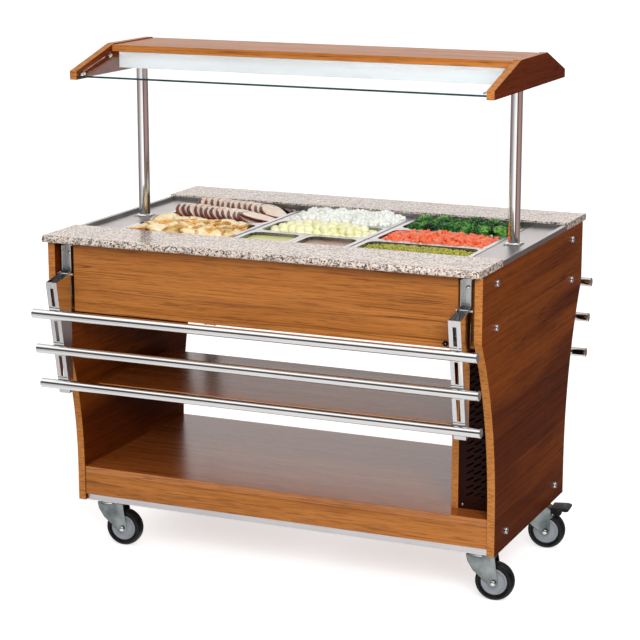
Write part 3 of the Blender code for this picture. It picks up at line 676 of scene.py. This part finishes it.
def glass_clips():
    """Chrome clamps that hold each sloping pane near its corners."""
    block = rounded_block((0.012, 0.015, 0.0095), 0.0015)
    heap = Heap()
    for end, sign in zip(ENDS, (-1, 1)):
        low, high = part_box(f"glass_{end}")
        outer = low.y if sign < 0 else high.y
        inner = high.y if sign < 0 else low.y
        slope = math.atan2(high.z - low.z, abs(inner - outer)) * -sign
        for share in (0.09, 0.88):
            y = outer + (inner - outer) * share
            z = low.z + 0.0025 + (high.z - low.z - 0.005) * share
            for x in (low.x + 0.0066, high.x - 0.0066):
                heap.add(block, placed(x, y, z, (slope, 0, 0)))
    add_piece("glass_clips", heap.mesh("clips", 35), [chrome], "root")


glass_clips()


def lamp_tube():
    """The light under the canopy and the two holders at its ends."""
    low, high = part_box("lamp_housing")
    x0, x1 = low.x + 0.045, high.x - 0.045
    z = high.z - 0.020
    radius = 0.008
    profile = [(0, x0), (radius * 0.9, x0), (radius, x0 + 0.001), (radius, x1 - 0.001), (radius * 0.9, x1),
               (0, x1)]
    heap = Heap()
    heap.add(turned(profile, 32), Matrix.Translation((0, 0, z)) @ AIM["X"])
    add_piece("lamp_tube", heap.mesh("tube", 50), [lamp_enamel], "root")
    holders = Heap()
    for x in (x0 - 0.002, x1 + 0.002):
        holders.add(rounded_block((0.014, 0.022, 0.030), 0.002), placed(x, 0, z + 0.003))
    add_piece("lamp_holders", holders.mesh("holders", 35), [lamp_enamel], "root")


lamp_tube()


# ---------------------------------------------------------------- food in the pans

chance = np.random.default_rng(7)


def inside_of(pan):
    """The inner corners of a pan's mouth, and the height of its rim."""
    low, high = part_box(pan)
    inset = 0.0145
    return low.x + inset, high.x - inset, low.y + inset, high.y - inset, high.z


def between(low, high):
    return float(chance.uniform(low, high))


def mound(u, v):
    """Height of a heap of food over its edge, for u and v from -1 to 1 across the pan."""
    return (1 - abs(u) ** 2.6) * (1 - abs(v) ** 2.6)


def bed(pan, material, name, drop, rise, wave=0.0012):
    """The continuous surface under the loose pieces, from wall to wall of the pan."""
    x0, x1, y0, y1, rim = inside_of(pan)
    nx, ny = 28, 16
    points, faces = [], []
    corner = 0.020
    half_x, half_y = (x1 - x0) / 2, (y1 - y0) / 2
    for j in range(ny + 1):
        for i in range(nx + 1):
            u, v = 2 * i / nx - 1, 2 * j / ny - 1
            x, y = u * half_x, v * half_y
            over_x, over_y = abs(x) - (half_x - corner), abs(y) - (half_y - corner)
            if over_x > 0 and over_y > 0:
                reach = math.hypot(over_x, over_y)
                if reach > 0:
                    fit = max(over_x, over_y) / reach
                    x = math.copysign(half_x - corner + over_x * fit, x)
                    y = math.copysign(half_y - corner + over_y * fit, y)
            z = rim - drop + rise * mound(u, v)
            z += wave * noise.noise(Vector((x * 60, y * 60, 3.0)))
            points.append(((x0 + x1) / 2 + x, (y0 + y1) / 2 + y, z))
    for j in range(ny):
        for i in range(nx):
            a = j * (nx + 1) + i
            faces.append((a, a + 1, a + nx + 2, a + nx + 1))
    return add_piece(name, mesh_from(name, points, faces, None, 0), [material], pan)


def scatter(pan, pitch_x, pitch_y, margin, jitter):
    """Places on a staggered grid over a pan: x, y and the share across the pan in each direction."""
    x0, x1, y0, y1 = inside_of(pan)[:4]
    spots = []
    rows = max(1, round((y1 - y0 - 2 * margin) / pitch_y))
    for j in range(rows + 1):
        y = y0 + margin + (y1 - y0 - 2 * margin) * j / rows
        columns = max(1, round((x1 - x0 - 2 * margin) / pitch_x))
        for i in range(columns + 1 - j % 2):
            x = x0 + margin + (x1 - x0 - 2 * margin) * (i + 0.5 * (j % 2)) / columns
            x += between(-jitter, jitter)
            y_now = y + between(-jitter, jitter)
            u = 2 * (x - x0) / (x1 - x0) - 1
            v = 2 * (y_now - y0) / (y1 - y0) - 1
            spots.append((x, y_now, u, v))
    return spots


def any_turn():
    return tuple(chance.uniform(0, 2 * math.pi, 3))


def food(name, stops, rough, scale, fine=0.0003, wet=0.3, skin=0.12):
    """A cooked food: its colours by clouds of noise, a fine surface and a moist coat."""
    made = Shader(name, Coat_Weight=wet, Coat_Roughness=0.18, Subsurface_Weight=skin,
                  Subsurface_Radius=(0.006, 0.003, 0.0015), Subsurface_Scale=1.0)
    cloud = made.noise(made.place((scale, scale, scale)), detail=4.0, rough=0.62)
    made.colour(made.ramp(cloud, stops))
    made.roughness(made.fade(cloud, 0.3, 0.7, rough - 0.08, rough + 0.1))
    small = made.noise(made.place((scale * 9, scale * 9, scale * 9)), detail=3.0, rough=0.6)
    made.bump(small, fine)
    return made.material


def tones(*steps):
    """Ramp stops of display colours, given as where, red, green and blue."""
    return tuple((at, srgb(red, green, blue)) for at, red, green, blue in steps)


pea_green = food("pea_green", tones((0.32, 112, 116, 22), (0.5, 150, 150, 38), (0.68, 186, 180, 66)),
                 0.35, 90)
carrot_orange = food("carrot_orange", tones((0.3, 214, 80, 40), (0.5, 238, 108, 66), (0.7, 248, 146, 104)),
                     0.35, 55, wet=0.1)
broccoli_green = food("broccoli_green", tones((0.38, 10, 44, 14), (0.50, 36, 100, 34), (0.62, 118, 178, 76)),
                      0.5, 20, fine=0.0006)
stalk_green = food("stalk_green", tones((0.3, 110, 150, 66), (0.7, 160, 186, 104)), 0.45, 40)
cauliflower_white = food("cauliflower_white", tones((0.3, 238, 242, 226), (0.5, 250, 252, 244),
                                                    (0.75, 254, 254, 250)), 0.5, 30)
potato_yellow = food("potato_yellow", tones((0.3, 230, 227, 164), (0.5, 244, 242, 196),
                                            (0.72, 251, 250, 228)), 0.4, 30)
sauce_green = food("sauce_green", tones((0.3, 196, 200, 112), (0.7, 214, 216, 140)), 0.34, 18, 0.0001, 0.1)
sauce_brown = food("sauce_brown", tones((0.3, 146, 108, 80), (0.7, 170, 134, 106)), 0.34, 18, 0.0001, 0.1)
meat_pale = food("meat_pale", tones((0.3, 232, 200, 174), (0.5, 246, 226, 204), (0.72, 252, 242, 228)),
                 0.42, 36, skin=0.0)
meat_crust = food("meat_crust", tones((0.3, 62, 16, 10), (0.5, 104, 32, 20), (0.75, 150, 66, 38)),
                  0.36, 80, fine=0.0006, skin=0.0)
cutlet_gold = food("cutlet_gold", tones((0.30, 214, 160, 84), (0.40, 240, 212, 148), (0.54, 251, 240, 204),
                                        (0.72, 246, 226, 168)), 0.5, 34, 0.0008, 0.1, 0.0)
cutlet_brown = food("cutlet_brown", tones((0.34, 180, 116, 52), (0.50, 220, 166, 92), (0.66, 242, 210, 148)),
                    0.5, 60, 0.0008, 0.1, 0.0)


def peas(pan):
    rim = inside_of(pan)[4]
    shapes = [lump(seed, (0.0040, 0.0040, 0.0038), 2, 0.05, 1.0) for seed in range(4)]
    heap = Heap()
    for layer in range(2):
        for x, y, u, v in scatter(pan, 0.0079, 0.0072, 0.0045, 0.0012):
            z = rim - 0.0135 + 0.011 * mound(u, v) + layer * 0.0042 + between(-0.0012, 0.0012)
            if layer == 0 or between(0, 1) < 0.55:
                heap.add(shapes[int(chance.integers(4))], placed(x, y, z, any_turn()))
    add_piece("peas", heap.mesh("peas", 0), [pea_green], pan)
    bed(pan, pea_green, "pea_bed", 0.0165, 0.011)


def carrots(pan):
    rim = inside_of(pan)[4]
    shapes = []
    for seed in range(6):
        size = (between(0.020, 0.030), between(0.010, 0.014), between(0.007, 0.010))
        block = rounded_block(size, 0.0016)
        bend = between(-9, 9)
        points = block[0].copy()
        points[:, 2] += bend * points[:, 0] ** 2
        points[:, 1] *= 1 + 10 * points[:, 0]
        shapes.append((points, block[1]))
    heap = Heap()
    for layer in range(2):
        for x, y, u, v in scatter(pan, 0.0165, 0.0145, 0.014, 0.004):
            z = rim - 0.014 + 0.013 * mound(u, v) + layer * 0.0065 + between(-0.002, 0.002)
            turn = (between(-0.5, 0.5), between(-0.5, 0.5), between(0, FULL_TURN))
            heap.add(shapes[int(chance.integers(6))], placed(x, y, z, turn))
    add_piece("carrots", heap.mesh("carrots", 35), [carrot_orange], pan)
    bed(pan, carrot_orange, "carrot_bed", 0.018, 0.011)


def floret(seed, head, bumps, bump_size):
    """A floret: small buds on a dome over a short branching stalk."""
    rng = np.random.default_rng(seed)
    made = Heap()
    bud = lump(seed, (1, 1, 1), 1, 0.10)
    for i in range(bumps):
        lift = 1 - (i + 0.5) / bumps * 1.05
        ring = math.sqrt(max(0.0, 1 - lift**2))
        turn = i * GOLDEN_TURN + rng.uniform(-0.25, 0.25)
        size = bump_size * rng.uniform(0.75, 1.25)
        spread = head * rng.uniform(0.90, 1.04)
        spot = (ring * math.cos(turn) * spread, ring * math.sin(turn) * spread, lift * spread * 0.78)
        made.add(bud, placed(*spot, tuple(rng.uniform(0, FULL_TURN, 3)), size))
    made.add(lump(seed + 50, (head * 0.80, head * 0.80, head * 0.62), 2, 0.1), placed(0, 0, 0))
    stalk = turned([(0, -head * 1.25), (head * 0.30, -head * 1.25), (head * 0.34, -head * 0.6),
                    (head * 0.62, -head * 0.05)], 12)
    made.add(stalk, placed(0, 0, 0), 1)
    return (np.concatenate(made.points), made.faces), made.tags


def florets(pan, name, skins, pitch, head, bumps, bump_size, drop, rise, tilt=0.5):
    rim = inside_of(pan)[4]
    kinds = [floret(seed, head, bumps, bump_size) for seed in range(5)]
    heap = Heap()
    for x, y, u, v in scatter(pan, pitch, pitch * 0.82, head * 0.95, pitch * 0.10):
        z = rim - drop + rise * mound(u, v) + between(-0.003, 0.003)
        shape, tags = kinds[int(chance.integers(5))]
        turn = (between(-tilt, tilt), between(-tilt, tilt), between(0, FULL_TURN))
        heap.add(shape, placed(x, y, z, turn, between(0.85, 1.12)), tags)
    add_piece(name, heap.mesh(name, 0), skins, pan)
    bed(pan, skins[0], name + "_bed", drop + 0.014, rise)


def potatoes(pan):
    rim = inside_of(pan)[4]
    shapes = [lump(seed, (0.0150, 0.0125, 0.0115), 3, 0.16, 1.2) for seed in range(6)]
    heap = Heap()
    for layer in range(2):
        for x, y, u, v in scatter(pan, 0.0235, 0.0205, 0.016, 0.004):
            z = rim - 0.016 + 0.015 * mound(u, v) + layer * 0.009 + between(-0.003, 0.003)
            if layer == 0 or (abs(u) < 0.8 and abs(v) < 0.7):
                turn = (between(-0.4, 0.4), between(-0.4, 0.4), between(0, FULL_TURN))
                heap.add(shapes[int(chance.integers(6))], placed(x, y, z, turn))
    add_piece("potatoes", heap.mesh("potatoes", 0), [potato_yellow], pan)
    bed(pan, potato_yellow, "potato_bed", 0.020, 0.012)


def roast_slice(seed):
    """A slice of roast: a pale oval face with a dark crust round it, flat on z = 0."""
    rng = np.random.default_rng(seed)
    steps, thick = 40, 0.0065
    outline = []
    for i in range(steps):
        turn = 2 * math.pi * i / steps
        wave = 1 + 0.05 * math.sin(turn * 2 + rng.uniform(0, 0.6)) + 0.03 * math.sin(turn * 3 + seed)
        flat = 1 - 0.16 * max(0.0, -math.sin(turn)) ** 2
        outline.append((0.053 * wave * math.cos(turn), 0.037 * wave * flat * math.sin(turn)))
    rings = [(0.0, thick), (0.84, thick), (0.945, thick * 0.98), (1.0, thick * 0.75), (1.0, thick * 0.25),
             (0.945, 0.0), (0.84, 0.0), (0.0, 0.0)]
    points, faces, tags = [], [], []
    loops = []
    for share, height in rings:
        if share == 0:
            loops.append([len(points)] * steps)
            points.append((0, 0, height))
            continue
        loops.append(list(range(len(points), len(points) + steps)))
        for x, y in outline:
            ripple = 0.0007 * noise.noise(Vector((x * 80, y * 80, seed)))
            points.append((x * share, y * share, height + ripple))
    for k, (lower, upper) in enumerate(zip(loops, loops[1:])):
        for i in range(steps):
            j = (i + 1) % steps
            corners = list(dict.fromkeys((lower[i], lower[j], upper[j], upper[i])))
            if len(corners) > 2:
                faces.append(corners)
                crust_line = -0.016 + 0.006 * noise.noise(Vector((i * 0.7, seed, 0)))
                browned = k in (1, 5) and outline[i][0] < crust_line
                tags.append(1 if k in (2, 3, 4) or browned else 0)
    return (np.array(points), faces), tags


def roast(pan):
    """Two overlapping rows of slices that lean on each other, and one slice lying at the end of each row."""
    x0, x1, y0, y1, rim = inside_of(pan)
    kinds = [roast_slice(seed) for seed in range(5)]
    heap = Heap()
    pitch = 0.0172
    for row, (share, start, stop) in enumerate(((0.28, 0.036, 0.050), (0.74, 0.050, 0.040))):
        y = y0 + (y1 - y0) * share
        count = int((x1 - x0 - start - stop) / pitch)
        for i in range(count + 1):
            shape, tags = kinds[(i + row) % 5]
            x = x0 + start + i * pitch
            lean = math.radians(42 - 14 * (i / count) ** 2) + between(-0.05, 0.05)
            z = rim - 0.002 + between(-0.001, 0.001) - 0.004 * (i / count)
            place = placed(x, y + between(-0.002, 0.002), z, (0, lean, 0)) @ Matrix.Rotation(
                math.pi / 2 + between(-0.12, 0.12), 4, "Z")
            heap.add(shape, place, tags)
    for x, y, turn in ((x1 - 0.040, y0 + 0.062, 0.3), (x1 - 0.052, y1 - 0.070, -0.4)):
        shape, tags = kinds[1]
        heap.add(shape, placed(x, y, rim - 0.001, (0.05, 0.22, turn)), tags)
    add_piece("roast_slices", heap.mesh("roast", 50), [meat_pale, meat_crust], pan)
    bed(pan, meat_crust, "roast_bed", 0.030, 0.006)


def cutlet(seed):
    """A fried cutlet: a flat bent oval, pale gold on its faces and browned round its rim."""
    rng = np.random.default_rng(seed)
    long, wide, thick = rng.uniform(0.036, 0.043), rng.uniform(0.025, 0.030), 0.0070
    points, faces = lump(seed, (long, wide, thick), 4, 0.16, 1.5)
    points = points.copy()
    for k, (x, y, z) in enumerate(points):
        points[k, 2] += 0.0016 * noise.noise(Vector((x * 130, y * 130, seed)))
        points[k, 2] += 2.6 * x * x * (1.0 if seed % 2 else -0.8)
    tags = []
    for face in faces:
        x, y, z = points[list(face)].mean(axis=0)
        patch = noise.noise(Vector((x * 90, y * 90, seed * 3.1)))
        tags.append(1 if math.hypot(x / long, y / wide) + 0.16 * patch > 0.86 else 0)
    return (points, faces), tags


def cutlets(pan):
    rim = inside_of(pan)[4]
    kinds = [cutlet(seed) for seed in range(6)]
    heap = Heap()
    for layer in range(3):
        margin = 0.036 + layer * 0.006
        for x, y, u, v in scatter(pan, 0.050, 0.036, margin, 0.007):
            shape, tags = kinds[int(chance.integers(6))]
            z = rim - 0.010 + layer * 0.0085 + between(-0.003, 0.003)
            turn = (between(-0.42, 0.42), between(-0.34, 0.34), between(0, FULL_TURN))
            heap.add(shape, placed(x, y, z, turn), tags)
    add_piece("cutlets", heap.mesh("cutlets", 0), [cutlet_gold, cutlet_brown], pan)
    bed(pan, cutlet_gold, "cutlet_bed", 0.020, 0.004)


peas("pan_right_1")
carrots("pan_right_2")
florets("pan_right_3", "broccoli", [broccoli_green, stalk_green], pitch=0.047, head=0.0255,
        bumps=90, bump_size=0.0041, drop=0.010, rise=0.007)
potatoes("pan_middle_3")
florets("pan_middle_4", "cauliflower", [cauliflower_white, cauliflower_white], pitch=0.036, head=0.021,
        bumps=20, bump_size=0.0088, drop=0.012, rise=0.009)
bed("pan_middle_1", sauce_green, "light_sauce", 0.0080, 0.0006, wave=0.0004)
bed("pan_middle_2", sauce_brown, "brown_sauce", 0.0080, 0.0006, wave=0.0004)
roast("pan_left_2")
cutlets("pan_left_1")


# ---------------------------------------------------------------- floor, light and camera


def studio_floor():
    """A pale floor that shows the shadows. The world lights the trolley from below in its place."""
    half = 40.0
    mesh = bpy.data.meshes.new("floor")
    corners = [(-half, -half, 0), (half, -half, 0), (half, half, 0), (-half, half, 0)]
    mesh.from_pydata(corners, [], [(0, 1, 2, 3)])
    floor = bpy.data.objects.new("floor", mesh)
    scene.collection.objects.link(floor)
    floor.visible_diffuse = False
    floor.visible_glossy = False
    made = Shader("pale_floor", Roughness=0.75, Emission_Strength=0.62, Specular_IOR_Level=0.0)
    made.put((1, 1, 1, 1), made.surface.inputs["Emission Color"])
    cloud = made.noise(made.place((0.8, 0.8, 0.8)), detail=2.0)
    made.colour(made.ramp(cloud, ((0.3, (0.66, 0.66, 0.66)), (0.7, (0.68, 0.68, 0.68)))))
    mesh.materials.append(made.material)


# Light of the studio's walls by turn: 0 and 1 are the left, 0.25 the front, 0.5 the right and 0.75 the rear.
# BELOW is the part under the horizon, which posts, rails and other upright surfaces reflect. LEVEL is the
# part above it, which boards and the counter reflect.
BELOW = (
    (0.00, (0.26, 0.23, 0.22)), (0.06, (0.26, 0.23, 0.23)), (0.085, (0.44, 0.40, 0.41)),
    (0.15, (0.50, 0.45, 0.46)), (0.175, (0.90, 0.86, 0.86)), (0.21, (0.98, 0.94, 0.94)),
    (0.26, (1.34, 1.30, 1.29)), (0.325, (1.34, 1.30, 1.29)), (0.34, (0.16, 0.10, 0.08)),
    (0.39, (0.16, 0.10, 0.08)), (0.415, (0.45, 0.28, 0.25)), (0.55, (0.43, 0.29, 0.27)),
    (0.60, (0.20, 0.16, 0.15)), (0.75, (0.18, 0.15, 0.14)), (0.79, (0.28, 0.23, 0.22)),
    (0.93, (0.22, 0.18, 0.17)),
)
LEVEL = tuple((turn, (light, light * 0.94, light * 0.92)) for turn, light in (
    (0.00, 0.20), (0.06, 0.08), (0.42, 0.10), (0.745, 0.15), (0.775, 1.30), (0.93, 1.30), (0.96, 0.30)))
FRONT_CEILING = 1.22
REAR_CEILING = 0.45
GROUND = 0.86
# Heights, as the sine of the angle over the horizon, between which one part fades into the next.
BELOW_TO_LEVEL = (-0.13, -0.04)
LEVEL_TO_CEILING = (0.46, 0.66)
BELOW_TO_GROUND = (-0.35, -0.70)


def studio_world():
    """White to the camera and through glass. To everything else, walls with dark and bright parts, a bright
    ceiling and a pale ground."""
    world = bpy.data.worlds.new("studio")
    world.use_nodes = True
    scene.world = world
    tree = world.node_tree

    def node(kind, **settings):
        made = tree.nodes.new("ShaderNode" + kind)
        for key, value in settings.items():
            setattr(made, key, value)
        return made

    def blend(amount, first, second):
        made = node("Mix", data_type="RGBA")
        for value, socket in ((amount, made.inputs[0]), (first, made.inputs[6]), (second, made.inputs[7])):
            if isinstance(value, bpy.types.NodeSocket):
                tree.links.new(value, socket)
            else:
                socket.default_value = value
        return made.outputs[2]

    def fade(value, low, high, **settings):
        made = node("MapRange", **settings)
        made.inputs["From Min"].default_value = low
        made.inputs["From Max"].default_value = high
        tree.links.new(value, made.inputs["Value"])
        return made.outputs["Result"]

    toward = node("TexCoord")
    split = node("SeparateXYZ")
    tree.links.new(toward.outputs["Generated"], split.inputs[0])
    turn = node("Math", operation="ARCTAN2")
    tree.links.new(split.outputs["Y"], turn.inputs[0])
    tree.links.new(split.outputs["X"], turn.inputs[1])
    around = fade(turn.outputs[0], -math.pi, math.pi)

    def ring(levels):
        made = node("ValToRGB")
        tree.links.new(around, made.inputs["Fac"])
        points = made.color_ramp.elements
        while len(points) < len(levels):
            points.new(0.5)
        for point, (at, level) in zip(points, levels):
            point.position = at
            point.color = level + (1,)
        return made.outputs["Color"]

    def grey(level):
        return (level, level, level, 1)

    height = split.outputs["Z"]
    smooth = {"interpolation_type": "SMOOTHSTEP"}
    ceiling = blend(fade(split.outputs["Y"], -0.1, 0.5, **smooth), grey(FRONT_CEILING), grey(REAR_CEILING))
    studio = blend(fade(height, *BELOW_TO_LEVEL, **smooth), ring(BELOW), ring(LEVEL))
    studio = blend(fade(height, *LEVEL_TO_CEILING, **smooth), studio, ceiling)
    studio = blend(fade(height, *BELOW_TO_GROUND, **smooth), studio, grey(GROUND))
    path = node("LightPath")
    seen = node("Math", operation="MAXIMUM")
    tree.links.new(path.outputs["Is Camera Ray"], seen.inputs[0])
    tree.links.new(path.outputs["Is Transmission Ray"], seen.inputs[1])
    tree.links.new(blend(seen.outputs[0], studio, (1, 1, 1, 1)), tree.nodes["Background"].inputs["Color"])


def area_light(name, place, aim, size, watts):
    """A soft rectangular light that faces aim and doesn't show in reflections."""
    data = bpy.data.lights.new(name, "AREA")
    data.shape = "RECTANGLE"
    data.size, data.size_y = size
    data.energy = watts
    lamp = bpy.data.objects.new(name, data)
    lamp.location = place
    lamp.rotation_euler = (Vector(aim) - Vector(place)).to_track_quat("-Z", "Y").to_euler()
    lamp.visible_glossy = False
    scene.collection.objects.link(lamp)


def camera():
    turn, rise, distance = math.radians(23.57), math.radians(12.89), 5.341
    target = Vector((-0.0219, 0.0, 0.6201))
    toward = Vector((math.sin(turn) * math.cos(rise), -math.cos(turn) * math.cos(rise), math.sin(rise)))
    data = bpy.data.cameras.new("camera")
    data.sensor_width = 36.0
    data.lens = 113.9
    data.clip_end = 200.0
    made = bpy.data.objects.new("camera", data)
    made.location = target + toward * distance
    made.rotation_euler = (-toward).to_track_quat("-Z", "Y").to_euler()
    scene.collection.objects.link(made)
    scene.camera = made


studio_floor()
studio_world()
area_light("key", (2.1, -3.2, 2.3), (0.1, 0, 0.6), (2.2, 1.6), 135)
camera()
